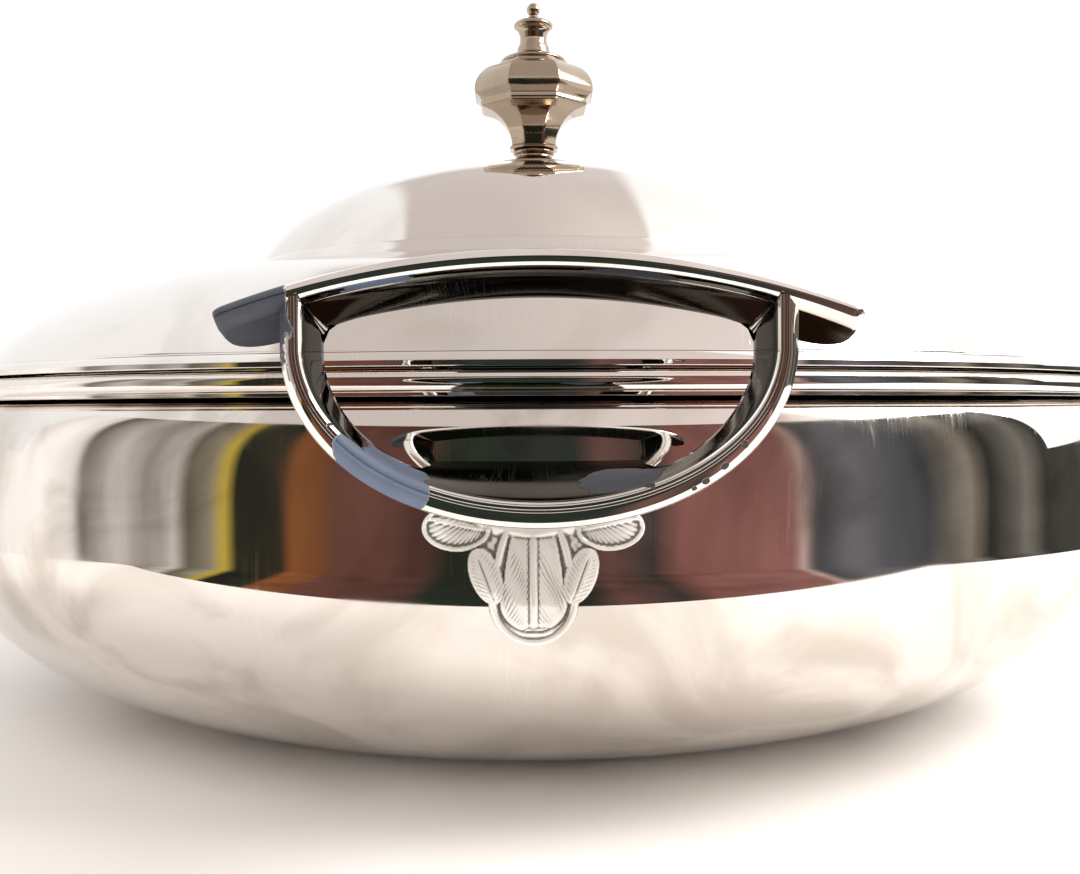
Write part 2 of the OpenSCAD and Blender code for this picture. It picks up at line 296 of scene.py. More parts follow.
columns = []
for degrees in range(screen_reach[0], screen_reach[1] + 1, screen_step):
    turn = math.radians(degrees)
    way = Vector((math.sin(turn), -math.cos(turn), 0))
    side = table_right if degrees > 0 else table_left
    near = min(side, table_front / max(0.01, math.cos(turn)))
    high = screen_h if abs(degrees) < tall_within else screen_low
    columns.append([way * near + off_table, way * screen_r + off_table,
                    way * screen_r + Vector((0, 0, high))])
screen = placed("dark_screen", sheet_mesh("dark_screen", columns), screen_tones)
screen.visible_camera = False
screen.visible_shadow = False
screen.visible_diffuse = False
print("screen columns:", len(columns))

# %% [markdown]
# ## Lamps
# The surround lights most of the scene. One broad lamp high on the right gives the soft, warm shadow
# on the left of the foot, and its size keeps that shadow's edge loose. A weak one in front lights the
# chased leaves, and is hidden from reflections so that it leaves no square spot on the bowl. A sun
# lamp would be simpler, but it throws one hard shadow and makes a pin-sharp spot on every curve.

# %% Lamps
def lamp(name, place, target, size, power, colour):
    """Square soft lamp that faces target."""
    light = bpy.data.lights.new(name, "AREA")
    light.size = size
    light.energy = power
    light.color = colour
    made = bpy.data.objects.new(name, light)
    made.location = place
    made.rotation_euler = (Vector(target) - Vector(place)).to_track_quat("-Z", "Y").to_euler()
    bpy.context.scene.collection.objects.link(made)
    return made


window = lamp("window_right", place=(1.0, -0.15, 0.85), target=(0, 0, 0.05), size=0.7, power=15,
              colour=(1.0, 0.97, 0.93))
fill = lamp("fill_front", place=(-0.1, -1.2, 1.1), target=(0, -0.1, 0.05), size=0.9, power=5,
            colour=(1.0, 0.97, 0.94))
fill.visible_glossy = False
print("lamps:", window.name, fill.name)

# %% [markdown]
# ## Silver plate
# The dish is base metal under a thin skin of silver. New plate is a mirror; after decades of polishing
# it is still a mirror, but a tired one: the sheet is very slightly wavy, there are fine scratches that
# run every way, thumb haze that dulls it in clouds, and a breath of warm tarnish. Each is one layer
# in the finish. Scratches come first. A painted picture of them would blur from close up and repeat,
# so they are noise that is stretched into streaks, turned a few ways and thinned to its middle line.

# %% Scratches
def streaks(tree, where, angles, fine):
    """Thin lines in the directions of the Euler angles: 1 on a line, 0 off it."""
    lines = 0.0
    for turn in angles:
        turned_place = add(tree, "Mapping", {"Vector": where, "Rotation": turn,
                                             "Scale": (fine, fine * 0.02, fine * 0.02)})
        streak = noise(tree, turned_place.outputs[0], 1.0, 2)
        middle = calc(tree, "ABSOLUTE", calc(tree, "SUBTRACT", streak, 0.5))
        lines = calc(tree, "MAXIMUM", lines, faded(tree, middle, 0.007, 0.001))
    broken = faded(tree, noise(tree, where, 55, 3), 0.52, 0.66)
    return calc(tree, "MULTIPLY", lines, broken)


SCRATCH_WAYS = [(0.0, 0.75, 0.3), (0.2, -0.55, 0.5), (0.1, 1.25, -0.4), (0.3, 2.0, 0.2)]
print("ways the scratches run:", len(SCRATCH_WAYS))

# %% [markdown]
# ## Where the plating has gone
# The handle has lost its silver where it is held and knocked: on the left wing, low on the loop at
# the left, and inside it. The dull metal shows there, with a ragged edge, and there are a few small
# pits. Painting a mask by hand would tie them to one mesh. Here each place is an oval in the dish's
# own frame, whose edge noise makes ragged, so it stays put when the mesh changes.

# %% Worn places
def gone(tree, where, spots, ragged, grain):
    """1 inside any of the egg-shaped spots, with an edge that noise makes ragged."""
    nearest = 10.0
    for centre, reach, lean in spots:
        offset = add(tree, "VectorMath", {0: where, 1: Vector(centre) * MM}, operation="SUBTRACT")
        leant = add(tree, "VectorRotate", {"Vector": offset.outputs[0], "Angle": math.radians(lean)},
                    rotation_type="Y_AXIS")
        scaled = add(tree, "VectorMath", {0: leant.outputs[0], 1: Vector(reach) * MM},
                     operation="DIVIDE")
        away = add(tree, "VectorMath", {0: scaled.outputs[0]}, operation="LENGTH").outputs["Value"]
        nearest = calc(tree, "MINIMUM", nearest, away)
    wander = calc(tree, "MULTIPLY", calc(tree, "SUBTRACT", noise(tree, where, grain, 5), 0.5), ragged)
    return faded(tree, calc(tree, "ADD", nearest, wander), 1.02, 0.98)


BARE = [((-36, -155, 75), (8.4, 40, 30), 0), ((-17.6, -163, 56.2), (5.0, 3.2, 6.5), 34),
        ((-16.4, -156, 57.4), (3.6, 9, 4.5), 34), ((9.8, -150, 54.6), (5.0, 11, 4), 0)]
PITS = [((17.1, -162, 54.1), (0.34, 5, 0.24), 20), ((18.4, -162, 54.9), (0.46, 5, 0.36), 25),
        ((20.5, -162, 56.6), (0.54, 5, 0.38), 30), ((22.7, -162, 59.0), (0.40, 5, 0.48), 30),
        ((-23.2, -162, 61.4), (0.26, 5, 0.16), 0), ((12.4, -161.6, 54.3), (1.5, 1.2, 0.5), -25)]
print("bare places:", len(BARE), "pits:", len(PITS))

# %% [markdown]
# ## The plate itself
# The finish starts from a clean metal tone. A warm film dulls it in clouds, haze makes some of it
# rougher, and waves and scratches go into the bump. Bare metal and pits come last, over all of it. A
# plain metal with one roughness would be quicker, and would look like chrome.

# %% Silver plate
SCRATCH_TONE = (0.97, 0.96, 0.95)
PATINA = (0.10, 0.095, 0.08)
DARK_METAL = ((0.04, 0.046, 0.062), (0.085, 0.095, 0.12))
BLUE_METAL = ((0.11, 0.145, 0.23), (0.17, 0.21, 0.30))
PIT_TONE = (0.05, 0.045, 0.04)
film_dark = 0.66
scratch_fine = 420
scratch_deep = 0.0007 * MM
bare_deep = 0.10 * MM
bare_grain = 0.05 * MM
bare_rough = 0.52
bare_metal = 0.15
pit_deep = 0.15 * MM
pit_rough = 0.8


def silver(name, tone=(0.82, 0.775, 0.735), gloss=0.025, haze=0.07, tarnish=0.65, waves=0.05,
           metal=1.0, bare=(), pits=(), worked=False, edge=1.0):
    """Worn silver plate. bare and pits are (centre, reach, lean), in millimetres and in the dish's
    own frame, each with a lean in degrees: ragged places where the plate has gone, and small dark
    holes in it. worked is for chased pieces, which keep a dark patina in their hollows. edge is how
    bright the metal gets where it is seen along its face."""
    material, tree, surface = plain(name)
    where = add(tree, "TexCoord").outputs["Object"]
    clouds = noise(tree, where, 34, 6, 0.6)
    film = faded(tree, noise(tree, where, 26, 6, 1.5), 0.42, 0.64)
    scratches = streaks(tree, where, SCRATCH_WAYS, scratch_fine)

    dull = tuple(film_dark * t for t in tone)
    warm = (dull[0], 0.96 * dull[1], 0.9 * dull[2])
    colour = mixed(tree, calc(tree, "MULTIPLY", film, tarnish), tone, warm)
    colour = mixed(tree, calc(tree, "MULTIPLY", scratches, 0.15), colour, SCRATCH_TONE)
    rough = faded(tree, clouds, 0.42, 0.70, gloss, gloss + haze)
    rough = calc(tree, "ADD", rough, calc(tree, "MULTIPLY", scratches, 0.10))
    height = calc(tree, "MULTIPLY", noise(tree, where, 14, 1), waves * MM)
    height = calc(tree, "SUBTRACT", height, calc(tree, "MULTIPLY", scratches, scratch_deep))

    if worked:
        hollow = add(tree, "Attribute", attribute_name="hollow").outputs["Fac"]
        colour = mixed(tree, hollow, colour, PATINA)

    if bare:
        worn = gone(tree, where, bare, 0.55, 240)
        grain = noise(tree, where, 1500, 4)
        spot = add(tree, "SeparateXYZ", {0: where})
        dark = mixed(tree, noise(tree, where, 420, 4), *DARK_METAL)
        pale = mixed(tree, noise(tree, where, 300, 4), *BLUE_METAL)
        blue = calc(tree, "MULTIPLY", faded(tree, spot.outputs["Z"], 0.066, 0.061),
                    faded(tree, spot.outputs["X"], 0.002, -0.004))
        grey = mixed(tree, blue, dark, pale)
        colour = mixed(tree, worn, colour, grey)
        rough = faded(tree, worn, 0, 1, rough, bare_rough)
        metal = faded(tree, worn, 0, 1, 1.0, bare_metal)
        height = calc(tree, "ADD", height, calc(tree, "MULTIPLY", worn, -bare_deep))
        grain = calc(tree, "MULTIPLY", calc(tree, "MULTIPLY", grain, worn), bare_grain)
        height = calc(tree, "ADD", height, grain)
    if pits:
        holes = gone(tree, where, pits, 0.5, 1300)
        colour = mixed(tree, holes, colour, PIT_TONE)
        rough = faded(tree, holes, 0, 1, rough, pit_rough)
        metal = calc(tree, "MULTIPLY", metal, calc(tree, "SUBTRACT", 1.0, holes))
        height = calc(tree, "ADD", height, calc(tree, "MULTIPLY", holes, -pit_deep))

    surface.inputs["Specular Tint"].default_value = (edge, edge, edge, 1)
    bump = add(tree, "Bump", {"Height": height, "Strength": 1.0, "Distance": 1.0})
    tree.links.new(bump.outputs[0], surface.inputs["Normal"])
    tree.links.new(colour, surface.inputs["Base Color"])
    tree.links.new(rough, surface.inputs["Roughness"])
    if isinstance(metal, bpy.types.NodeSocket):
        tree.links.new(metal, surface.inputs["Metallic"])
    else:
        surface.inputs["Metallic"].default_value = metal
    return material


print("depth of a bare place in mm:", bare_deep / MM)

# %% [markdown]
# ## The dish's finishes
# One piece of plate isn't like the next. The spun lid and mouldings are the cleanest, the bowl is
# cloudier, and the ring inside the lid is hazy. The finial is browner. The handles are bright where
# hands polish them, and a dark finish paints shade on the bar's underside and the loop's inner faces.
# The leaves are frosted by the chaser's punches. They could be one finish with a mask, but separate
# ones are easier to judge one at a time.

# %% Finishes
sheet_silver = silver("sheet_silver", tarnish=0.25)
bowl_silver = silver("bowl_silver", tone=(0.81, 0.76, 0.715), haze=0.10, tarnish=0.75)
inner_silver = silver("inner_silver", tone=(0.86, 0.83, 0.78), haze=0.22, tarnish=0.45)
cast_silver = silver("cast_silver", tone=(0.44, 0.355, 0.27), gloss=0.05, haze=0.14, tarnish=0.45,
                     waves=0.02)
handle_silver = silver("handle_silver", tone=(0.90, 0.87, 0.83), tarnish=0.35, waves=0.02,
                       bare=BARE, pits=PITS)
# A dark finish that paints shade on the bar's underside and the loop's inner faces.
painted_shade_silver = silver("painted_shade_silver", tone=(0.15, 0.145, 0.12), gloss=0.05, haze=0.14, tarnish=0.5,
                       waves=0.02, edge=0.35, bare=BARE, pits=PITS)
frosted_silver = silver("frosted_silver", tone=(0.98, 0.965, 0.94), gloss=0.10, haze=0.10, metal=0.22,
                        waves=0.0, worked=True)
finishes = (sheet_silver, bowl_silver, inner_silver, cast_silver, handle_silver, painted_shade_silver,
            frosted_silver)
print("finishes:", [finish.name for finish in finishes])

# %% [markdown]
# ## Turning a shell
# A spun or turned piece is one outline swept round the middle of the dish. Reflections in a mirror
# show every facet, so the outline's curves are drawn as true arcs with many points and the sweep
# takes hundreds of steps. Edges that turn sharply are marked sharp, so that shading stays smooth on
# the curves and crisp at the mouldings. The screw modifier can sweep an outline too. Here the faces
# are written out, so that points on the axis stay single and the piece is closed.

# %% Turned pieces
SWEEP = 288
TINY = 1e-6


def arc(cx, cz, a, b, start, end, count=40):
    """Points of an ellipse about (cx, cz), between two angles in degrees."""
    return [(cx + a * math.cos(math.radians(start + (end - start) * i / count)),
             cz + b * math.sin(math.radians(start + (end - start) * i / count)))
            for i in range(count + 1)]


def finish_mesh(mesh, crease=35):
    """Smooth shading, with edges over crease degrees left sharp."""
    mesh.shade_smooth()
    mesh.set_sharp_from_angle(angle=math.radians(crease))
    return mesh


def turned(name, outline, material, crease=35):
    """Piece made by sweeping a closed outline of (radius, height) in millimetres round Z."""
    loop = [p for i, p in enumerate(outline) if math.dist(p, outline[i - 1]) > TINY]
    count = len(loop)
    points = []
    first = []
    for r, z in loop:
        first.append(len(points))
        spins = 1 if r < TINY else SWEEP
        for s in range(spins):
            turn = 2 * math.pi * s / SWEEP
            points.append((r * MM * math.cos(turn), r * MM * math.sin(turn), z * MM))
    faces = []
    for i in range(count):
        j = (i + 1) % count
        on_axis = [loop[i][0] < TINY, loop[j][0] < TINY]
        if all(on_axis):
            continue
        for s in range(SWEEP):
            t = (s + 1) % SWEEP
            corners = [first[i] + (0 if on_axis[0] else s), first[i] + (0 if on_axis[0] else t),
                       first[j] + (0 if on_axis[1] else t), first[j] + (0 if on_axis[1] else s)]
            faces.append(tuple(dict.fromkeys(corners)))
    mesh = bpy.data.meshes.new(name)
    mesh.from_pydata(points, [], faces)
    mesh.update()
    face_outward(mesh)
    made = placed(name, finish_mesh(mesh, crease), material)
    print(name, "outline points:", count, "faces:", len(mesh.polygons))
    return made


def face_outward(mesh):
    """Turns all faces of a closed mesh so that they look out."""
    volume = 0.0
    for polygon in mesh.polygons:
        corners = [mesh.vertices[v].co for v in polygon.vertices]
        for b, c in zip(corners[1:], corners[2:]):
            volume += corners[0].dot(b.cross(c))
    if volume < 0:
        mesh.flip_normals()


def stands_for(piece, body, finish_slot, *nodes):
    """piece rides on a body in place of CAD nodes. finish_slot is not used."""
    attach(piece, body)
    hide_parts(*nodes)


print("steps in a turn:", SWEEP)

# %% [markdown]
# ## Bowl
# The bowl is one sheet, spun over a form: a flat ring to rest on, a side that swells to a barrel,
# a rounded shoulder, and a short neck that the rim moulding is soldered round. Inside it follows the
# outside at the thickness of the sheet. Sizes that a box can show come from the frame; the rest are
# the few numbers that give the curves their character. A plain ellipse makes a shoulder that slopes
# too soon, so the shoulder is a fuller curve: the higher its fullness, the squarer it turns.

# %% Bowl's outline
def top_of(name):
    """Highest z of a CAD node, in millimetres."""
    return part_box(name)[1][2] / MM


def radius_of(name):
    """Outer radius of a round CAD node, in millimetres."""
    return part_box(name)[1][0] / MM


rim_z = top_of("bowl_shell")
belly_r = radius_of("bowl_shell")
belly_z = 40.0
neck_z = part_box("rim_bead")[0][2] / MM
neck_r = belly_r - 8.0
sheet_t = 1.4
rest_r = 76.0
rest_w = 4.0
under_b = belly_z + 2.4
under_angle = math.degrees(math.asin(belly_z / under_b))
under_cos = math.cos(math.radians(under_angle))
under_cr = (rest_r - belly_r * under_cos) / (1 - under_cos)
kick = 2.0
kick_in = 3 * kick
fullness = 3.2


def side_radius(z):
    """Outer radius of the bowl's side at height z, in millimetres."""
    if z >= belly_z:
        rise = min(1.0, (z - belly_z) / (neck_z - belly_z))
        return neck_r + (belly_r - neck_r) * (1 - rise ** fullness) ** (1 / fullness)
    return under_cr + (belly_r - under_cr) * math.sqrt(1 - ((belly_z - z) / under_b) ** 2)


def shoulder(inset, count=48):
    """The rounded shoulder, from the neck down to the barrel, moved in by inset."""
    made = []
    for i in range(count + 1):
        turn = math.pi / 2 * (1 - i / count)
        across = math.cos(turn) ** (2 / fullness) if i else 0.0
        made.append((neck_r - inset + (belly_r - neck_r) * across,
                     belly_z + (neck_z - belly_z - inset) * math.sin(turn) ** (2 / fullness)))
    return made


print("bowl in mm: barrel radius", round(belly_r, 2), "neck radius", round(neck_r, 2))

# %% [markdown]
# ## The bowl's two skins
# The outline runs down the outside, across the underside, back under the inside and up it, and round
# a rolled lip. A shell could also be thickened with a modifier. Drawing both skins keeps the flat
# ring that the bowl rests on exactly as thick as the sheet.

# %% Bowl
outer_side = [(neck_r, rim_z)] + shoulder(0)
outer_side += arc(under_cr, belly_z, belly_r - under_cr, under_b, 0, -under_angle, 60)
inner_b = under_b - sheet_t
inner_angle = math.degrees(math.asin((belly_z - sheet_t) / inner_b))
ring_in = rest_r - rest_w
bottom = [(ring_in, 0), (ring_in - kick_in, kick), (0, kick), (0, kick + sheet_t),
          (ring_in - kick_in, kick + sheet_t), (ring_in, sheet_t)]
inner_side = arc(under_cr, belly_z, belly_r - under_cr - sheet_t, inner_b, -inner_angle, 0, 60)
inner_side += shoulder(sheet_t)[-2::-1]
rolled_lip = arc(neck_r - sheet_t / 2, rim_z - sheet_t / 2, sheet_t / 2, sheet_t / 2, 180, 0, 10)
bowl = turned("bowl", outer_side[1:] + bottom + inner_side + rolled_lip, bowl_silver)
stands_for(bowl, "bowl", "silver_plate", "bowl_shell")

# %% [markdown]
# ## Rim moulding
# A drawn half-round wire goes round the mouth. It stiffens the rim and gives the lid a ledge. A small
# step under the half-round, as the drawplate leaves it, catches a second line of light. Half a torus
# would be close, but one more outline for the sweep has the step too and fits the neck exactly.

# %% Rim moulding
bead_h = rim_z - neck_z
bead_r = 0.46 * bead_h
rim_r = radius_of("rim_bead")
lap = 0.2
step_w = 0.7
moulding = [(neck_r - lap, neck_z), (rim_r - bead_r - step_w, neck_z)]
moulding += arc(rim_r - bead_r, neck_z + 0.12, step_w, 0.30, -150, -20, 10)
moulding += arc(rim_r - bead_r, rim_z - bead_r - 0.02, bead_r, bead_r, -66, 88, 40)
moulding += [(neck_r - lap, rim_z)]
rim = turned("rim_moulding", moulding, sheet_silver)
stands_for(rim, "bowl", "silver_plate", "rim_bead")

# %% [markdown]
# ## Lid
# The lid is spun in two lifts: a broad shoulder, a small step, and a dome. Both are stretches of
# ellipses, which is what a spinner's form usually is. The inside follows one sheet thickness behind,
# and the crown ends at the hole for the finial's stud. A squashed sphere could be the dome, but it
# would have to be cut and joined at the step, and a seam shows at once in a mirror.

# %% Lid shell
lid_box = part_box("lid_shell")
lid_z = lid_box[0][2] / MM
skirt_r = radius_of("lid_shell")
skirt_z = top_of("lid_border")
crown_z = top_of("lid_shell")
lid_t = 1.2
step_r = 66.0
dome_z = lid_z + 26.7
shoulder_cr = 0.73 * step_r
shoulder_cz = lid_z - 2.0
shoulder_b = 26.9
riser_points = 20
shoulder_a = (skirt_r - shoulder_cr) / math.sqrt(1 - ((skirt_z - shoulder_cz) / shoulder_b) ** 2)
dome_r = step_r - 2.0
dome_cz = dome_z - 6.78
dome_b = 30.98
dome_a = dome_r / math.sqrt(1 - ((dome_z - dome_cz) / dome_b) ** 2)
hole_r = 2.2


def lid_side(inset):
    """Outside of the lid from its skirt to its crown, moved in by inset."""
    a, b = shoulder_a - inset, shoulder_b - inset
    low = math.degrees(math.asin((skirt_z - shoulder_cz - inset) / b))
    high = math.degrees(math.acos((step_r + 1.8 - shoulder_cr - inset) / a))
    side = arc(shoulder_cr, shoulder_cz, a, b, low, high, 54)
    riser = []
    for i in range(1, riser_points):
        share = i / riser_points
        ease = share * share * (3 - 2 * share)
        riser.append((side[-1][0] + (dome_r - inset - side[-1][0]) * share,
                      side[-1][1] + (dome_z - inset - side[-1][1]) * ease))
    a, b = dome_a - inset, dome_b - inset
    foot = math.degrees(math.acos((dome_r - inset) / a))
    crown = math.degrees(math.asin((crown_z - dome_cz - inset) / b))
    return side + riser + arc(0, dome_cz, a, b, foot, crown, 70)


lid_outline = [(skirt_r, lid_z)] + lid_side(0) + [(hole_r, crown_z), (hole_r, crown_z - lid_t)]
lid_outline += lid_side(lid_t)[::-1] + [(skirt_r - lid_t, lid_z)]
lid = turned("lid", lid_outline, sheet_silver)
stands_for(lid, "lid", "silver_plate", "lid_shell")

# %% [markdown]
# ## Lid border
# The edge of the lid is stepped: a wide lower band that sits on the rim moulding, and a narrower
# band above it. Their edges are softened by long years of drying cloths, so each is a flattened
# half-round and not a square corner. A bevel would round every corner alike. Drawn arcs let each one
# be worn by its own amount.

# %% Lid border
low_band = 1.05


def band(radius, low, high, softness):
    """Edge of a band: a flat face with rounded corners, from its lower to its upper one."""
    return (arc(radius - softness, low + softness, softness, softness, -80, 0, 8)
            + arc(radius - softness, high - softness, softness, softness, 0, 85, 8))


border = [(skirt_r - lap, lid_z)]
border += band(rim_r, lid_z, lid_z + low_band, 0.22)
high_z = lid_z + low_band
border += [(rim_r - 0.45, high_z)]
border += arc(rim_r - 3.4, skirt_z - 3.2, 3.1, 3.05, 35, 68, 14)
border += arc(rim_r - 2.7, skirt_z - 0.28, 0.30, 0.28, 0, 100, 8)
border += [(skirt_r - lap, skirt_z - 0.12)]
lid_border = turned("lid_border_ring", border, sheet_silver)
stands_for(lid_border, "lid", "silver_plate", "lid_border")

# %% [markdown]
# ## Finial
# The finial is cast in parts that a stud draws together: a spreading round base, an eight-sided
# vase, a collar, and a turned tip. The round ones are turned like the shells, each from its own
# outline. One outline for all of them would be less work, but it would hide the joints, which a real
# finial shows as fine dark lines.

# %% Finial base, collar and tip
base_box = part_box("finial_base")
base_z = base_box[0][2] / MM
base_top = base_box[1][2] / MM
base_r = radius_of("finial_base")
base_bead = 0.65
base_edge = 0.5
base_hole = 2.0
base_rise = 1.3
waist_r = 0.36 * base_r
base = [(base_hole, base_z), (base_r - base_edge, base_z)]
base += arc(base_r - base_edge, base_z + base_edge, base_edge, base_edge, -90, 20, 10)
cove_h = base_top - base_z - 2 * base_bead - base_rise
base += arc(base_r - 0.2, base_z + base_rise + cove_h, base_r - 0.2 - waist_r, cove_h, -92, -178, 30)
base += arc(waist_r, base_top - base_bead, base_bead, base_bead, -85, 88, 14)
base += [(base_hole, base_top)]
finial_foot = turned("finial_foot", base, cast_silver, 50)
stands_for(finial_foot, "lid", "cast_silver", "finial_base")

collar_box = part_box("finial_collar")
collar_z = collar_box[0][2] / MM
collar_top = collar_box[1][2] / MM
collar_r = radius_of("finial_collar")
disc = [(0, collar_z), (collar_r - 0.9, collar_z)]
disc += arc(collar_r - 0.55, collar_z + 0.62, 0.55, 0.55, -100, 60, 14)
disc += arc(collar_r - 1.6, collar_z + 0.9, 1.3, 0.62, 40, 92, 10)
disc += [(0.52 * collar_r, collar_top), (0, collar_top)]
finial_collar = turned("finial_disc", disc, cast_silver, 50)
stands_for(finial_collar, "lid", "cast_silver", "finial_collar")

tip_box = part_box("finial_tip")
tip_z = tip_box[0][2] / MM
tip_top = tip_box[1][2] / MM
ball_r = 1.6
stem = tip_top - 2 * ball_r - tip_z
tip = [(0, tip_z), (3.75, tip_z)]
tip += arc(3.75, tip_z + 0.42, 0.42, 0.42, -80, 70, 8)
tip += arc(5.6, tip_z + 0.42 * stem, 2.4, 0.33 * stem, -130, -240, 14)[1:]
tip += arc(2.9, tip_z + 0.76 * stem, 1.75, 1.15, -28, 80, 16)
tip += arc(2.75, tip_z + stem, 1.5, 0.85, -98, -172, 10)
tip += arc(0, tip_top - ball_r, ball_r * 0.98, ball_r, -52, 90, 24)
tip[-1] = (0, tip_top)
finial_tip = turned("finial_spire", tip, cast_silver, 50)
stands_for(finial_tip, "lid", "cast_silver", "finial_tip")

# %% [markdown]
# ## Finial vase
# The vase has eight flats, with corners that filing and polishing have rounded a little. A lathe
# modifier with eight steps would give the flats, but only with knife-sharp corners. So it is lofted:
# each ring is an octagon with soft corners, and the rings follow the profile. Flats mirror the room
# as long upright panes, so they have to be truly flat across and truly curved along.

# %% Loft and vase
vase_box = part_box("finial_vase")
vase_z = vase_box[0][2] / MM
vase_h = vase_box[1][2] / MM - vase_z
vase_r = vase_box[1][1] / MM
rounding = 1.0
flats = 8
half_flat = 180 / flats


def vase_profile():
    """Half the distance across the flats, and height, from the vase's foot up."""
    r, h = vase_r, vase_h
    side = [(0.40 * r, 0), (0.41 * r, 0.015 * h), (0.40 * r, 0.03 * h), (0.375 * r, 0.05 * h)]
    side += arc(r, 0.02 * h, 0.63 * r, 0.46 * h, 172, 118, 24)
    side += arc(0.80 * r, 0.50 * h, 0.10 * r, 0.045 * h, -60, 20, 6)
    side += [(0.895 * r, 0.548 * h), (0.915 * r, 0.565 * h), (0.955 * r, 0.60 * h)]
    side += arc(0.45 * r, 0.66 * h, 0.55 * r, 0.32 * h, -8, 74, 26)
    side += [(0.56 * r, h)]
    return side


def eight_sided(radius, z):
    """Ring of an octagon with rounded corners, one flat towards the front."""
    ring = []
    soft = min(rounding, 0.3 * radius)
    for k in range(flats):
        corner = math.radians(2 * half_flat * k - 90 + half_flat)
        out = (radius - soft) / math.cos(math.radians(half_flat))
        for step in range(7):
            turn = corner + math.radians(half_flat) * (step / 3 - 1)
            ring.append(Vector((out * math.cos(corner) + soft * math.cos(turn),
                                out * math.sin(corner) + soft * math.sin(turn), z)) * MM)
    return ring


def lofted(name, rings, material, crease=35, shaded=(), film=None):
    """Closed piece through rings of the same number of points, filled at both ends. Faces whose
    place in the ring is in shaded take the second material, film, a dark one that paints shade."""
    count = len(rings[0])
    points = [p for ring in rings for p in ring]
    faces = []
    for i in range(len(rings) - 1):
        for k in range(count):
            n = (k + 1) % count
            faces.append((i * count + k, i * count + n, (i + 1) * count + n, (i + 1) * count + k))
    sides = len(faces)
    for start, ring in ((0, rings[0]), ((len(rings) - 1) * count, rings[-1])):
        middle = len(points)
        points.append(sum(ring, Vector()) / count)
        faces += [(start + k, start + (k + 1) % count, middle) for k in range(count)]
    mesh = bpy.data.meshes.new(name)
    mesh.from_pydata(points, [], faces)
    mesh.update()
    made = placed(name, mesh, material)
    if film:
        mesh.materials.append(film)
        for polygon in mesh.polygons[:sides]:
            polygon.material_index = 1 if polygon.index % count in shaded else 0
    even_winding(mesh)
    finish_mesh(mesh, crease)
    print(name, "faces:", len(mesh.polygons))
    return made


def even_winding(mesh):
    """Makes all faces of a closed mesh face outward."""
    work = bmesh.new()
    work.from_mesh(mesh)
    bmesh.ops.recalc_face_normals(work, faces=work.faces)
    work.to_mesh(mesh)
    work.free()


vase_rings = [eight_sided(r, vase_z + z) for r, z in vase_profile()]
vase = lofted("finial_vase_cast", vase_rings, cast_silver, 30)
stands_for(vase, "lid", "cast_silver", "finial_vase")

# %% [markdown]
# ## Handles
# Each handle is two castings, soldered together: an arched thumb bar with a wing at both ends, and a
# loop that hangs from it and reaches back to the bowl in a tongue. A moulding runs along every front
# edge. Lengths in the handle's own frame are x across, depth back from its front, and z up. The
# second handle is the first turned half round the dish. An array modifier could copy it, but a turned
# copy of the mesh keeps its own name.

# %% Handle sizes
bar_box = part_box("front_handle_bar")
loop_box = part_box("front_handle_loop")
handle_y = -bar_box[0][1] / MM
bar_z = bar_box[1][2] / MM
wing_x = bar_box[1][0] / MM
strap_w = 16.0
arch_r = 106.0
bar_t = 2.6
tilt = math.radians(7.5)
wing_front = 1.2
wing_back = 12.0


def at_handle(x, depth, z):
    """Point of the front handle, in metres in the dish's frame."""
    return Vector((x, depth - handle_y, z)) * MM


def other_side(piece, name):
    """Copy of a front piece, turned half round the dish."""
    mesh = piece.data.copy()
    mesh.transform(Matrix.Rotation(math.pi, 4, "Z"))
    made = bpy.data.objects.new(name, mesh)
    bpy.context.scene.collection.objects.link(made)
    return made


def other_handle(piece, name, body, finish_slot, node):
    """Copy of a front piece for the back handle, in place of its CAD node."""
    made = other_side(piece, name)
    stands_for(made, body, finish_slot, node)
    return made


print("handle in mm: front at", round(handle_y, 1), "top at", round(bar_z, 1))

# %% [markdown]
# ## Section of the thumb bar
# Seen from the end, the bar is thin, with a moulded front edge: it swells from a fine nose to its full
# thickness. A bevelled box has the same nose above and below, and this one doesn't. So the section is
# drawn point by point, with short curves that are pulled towards a corner.

# %% Bar section
BAR_FRONT = 4.5
section_t = 2.1


def swoop(start, pull, end, count):
    """Points of a curve from start to end that bends towards pull."""
    made = []
    for i in range(count + 1):
        t = i / count
        made.append(tuple((1 - t) ** 2 * a + 2 * t * (1 - t) * b + t * t * c
                          for a, b, c in zip(start, pull, end)))
    return made


def bar_section():
    """Section of a bar section_t thick: (depth, height), round from the lower front."""
    section = swoop((1.75, -1.05), (0.66, -0.74), (0.14, -0.10), 10)
    section += [(0.30, -0.03), (0.30, 0.03)]
    section += swoop((0.12, 0.09), (0.38, 0.86), (2.0, 1.04), 14)
    section += [(2.9, 1.0)]
    section += [(d, 1.05 - 0.08 * abs(d - 8.5) / 6) for d in (4.5, 6.5, 8.5, 10.5, 12.5)]
    section += [(14.2, 0.93)]
    section += arc(15.3, 0.23, 0.7, 0.7, 88, -2, 8)
    section += arc(15.3, -0.25, 0.7, 0.7, 0, -80, 8)[1:]
    section += [(d, -0.97) for d in (14.0, 12.0, 10.0, 8.0, 6.0, 5.0)]
    section += [(4.2, -0.98), (3.4, -1.0), (2.6, -1.03), (2.1, -1.045)]
    return section


# Faces under the bar, which the dark finish paints as shaded.
UNDER_BAR = range(len(bar_section()) - 16, len(bar_section()) - 1)
print("points in the bar's section:", len(bar_section()))

# %% [markdown]
# ## Thumb bar
# The bar arches from tip to tip, slopes down to the back, and its wings droop and round off. A
# curve object with this section as its bevel can't round the tips, so the section is set at many
# stations along the arch and lofted. Its underside takes the dark finish, which paints shade there.

# %% Thumb bar
wing_tip = 0.5
wing_droop = math.radians(6)
droop_from = 22
droop_over = 12
squeezed_under = 7
even_half = 24.0
even_step = 0.6
tip_stations = 40


